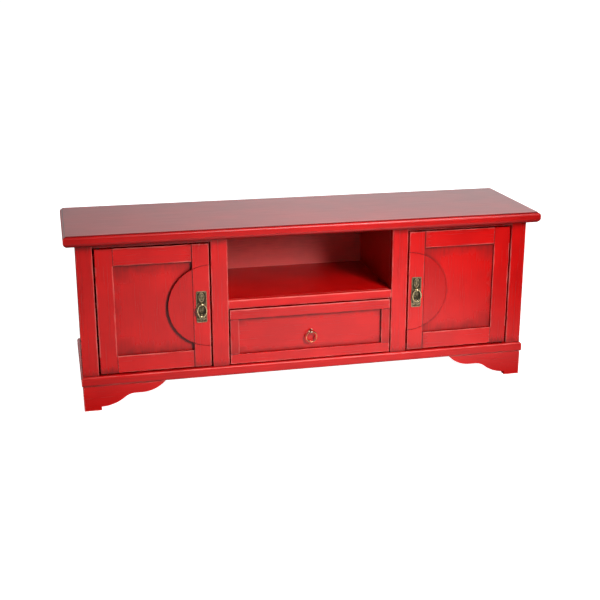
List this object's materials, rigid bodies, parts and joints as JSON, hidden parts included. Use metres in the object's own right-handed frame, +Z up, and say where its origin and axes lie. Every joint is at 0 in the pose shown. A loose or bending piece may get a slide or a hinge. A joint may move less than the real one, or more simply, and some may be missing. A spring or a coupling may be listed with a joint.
{
  "type": "tv stand",
  "caption": "Low red lacquered TV stand with half-moon panelled doors, an open niche over a drawer, a moulded top and ogee bracket feet.",
  "frame": {"origin": "on the floor, under the middle of the top", "axes": "+X to the right as seen from the front, +Y to the back, +Z up"},
  "size_m": [1.5, 0.41, 0.56],
  "materials": {
    "red_lacquer": "antiqued red lacquer, satin",
    "bare_wood": "planed, unpainted",
    "antique_brass": "antiqued brass",
    "bright_steel": "zinc plated",
    "brown_plastic": "moulded"
  },
  "bodies": {
    "case": {"back_panel": "red_lacquer", "base_front_band": "red_lacquer", "base_left_band": "red_lacquer", "base_right_band": "red_lacquer", "bottom_board": "red_lacquer", "cupboard_shelves": "red_lacquer", "head_rails": "red_lacquer", "niche_shelf": "red_lacquer", "rear_feet": "red_lacquer", "shelf_rail": "red_lacquer", "top_board": "red_lacquer", "left_divider": "red_lacquer", "left_front_foot": "red_lacquer", "left_front_post": "red_lacquer", "left_inner_post": "red_lacquer", "left_side_brackets": "red_lacquer", "left_side_panel": "red_lacquer", "right_divider": "red_lacquer", "right_front_foot": "red_lacquer", "right_front_post": "red_lacquer", "right_inner_post": "red_lacquer", "right_side_brackets": "red_lacquer", "right_side_panel": "red_lacquer", "base_back_rail": "bare_wood", "corner_blocks": "bare_wood", "drawer_runners": "bare_wood", "shelf_cleats": "bare_wood", "pivot_bushes": "antique_brass", "door_catches": "brown_plastic"},
    "drawer": {"drawer_panel": "red_lacquer", "drawer_rails": "red_lacquer", "drawer_stiles": "red_lacquer", "drawer_back": "bare_wood", "drawer_bottom": "bare_wood", "drawer_sides": "bare_wood", "drawer_pull_post": "antique_brass"},
    "drawer_ring_pull": {"drawer_ring": "antique_brass"},
    "left_door": {"left_door_bottom_rail": "red_lacquer", "left_door_panel": "red_lacquer", "left_door_top_rail": "red_lacquer", "left_half_moon": "red_lacquer", "left_hinge_stile": "red_lacquer", "left_lock_stile": "red_lacquer", "left_pivot_pins": "bright_steel", "left_strike_plate": "bright_steel", "left_pull_plate": "antique_brass", "left_pull_post": "antique_brass"},
    "left_ring_pull": {"left_ring": "antique_brass"},
    "right_door": {"right_door_bottom_rail": "red_lacquer", "right_door_panel": "red_lacquer", "right_door_top_rail": "red_lacquer", "right_half_moon": "red_lacquer", "right_hinge_stile": "red_lacquer", "right_lock_stile": "red_lacquer", "right_pivot_pins": "bright_steel", "right_strike_plate": "bright_steel", "right_pull_plate": "antique_brass", "right_pull_post": "antique_brass"},
    "right_ring_pull": {"right_ring": "antique_brass"}
  },
  "joints": [
    {"name": "drawer_slide", "type": "slide", "parent": "case", "child": "drawer", "axis": [0, -1, 0], "range_m": [0, 0.25]},
    {"name": "drawer_ring_swing", "type": "hinge", "parent": "drawer", "child": "drawer_ring_pull", "pos_m": [0, -0.171, 0.20275], "axis": [-1, 0, 0], "range_deg": [-5, 170]},
    {"name": "left_door_swing", "type": "hinge", "parent": "case", "child": "left_door", "pos_m": [-0.65, -0.16, 0.3125], "axis": [0, 0, -1], "range_deg": [0, 110]},
    {"name": "left_ring_swing", "type": "hinge", "parent": "left_door", "child": "left_ring_pull", "pos_m": [-0.347, -0.1781, 0.319], "axis": [-1, 0, 0], "range_deg": [-5, 170]},
    {"name": "right_door_swing", "type": "hinge", "parent": "case", "child": "right_door", "pos_m": [0.65, -0.16, 0.3125], "axis": [0, 0, 1], "range_deg": [0, 110]},
    {"name": "right_ring_swing", "type": "hinge", "parent": "right_door", "child": "right_ring_pull", "pos_m": [0.347, -0.1781, 0.319], "axis": [-1, 0, 0], "range_deg": [-5, 170]}
  ]
}
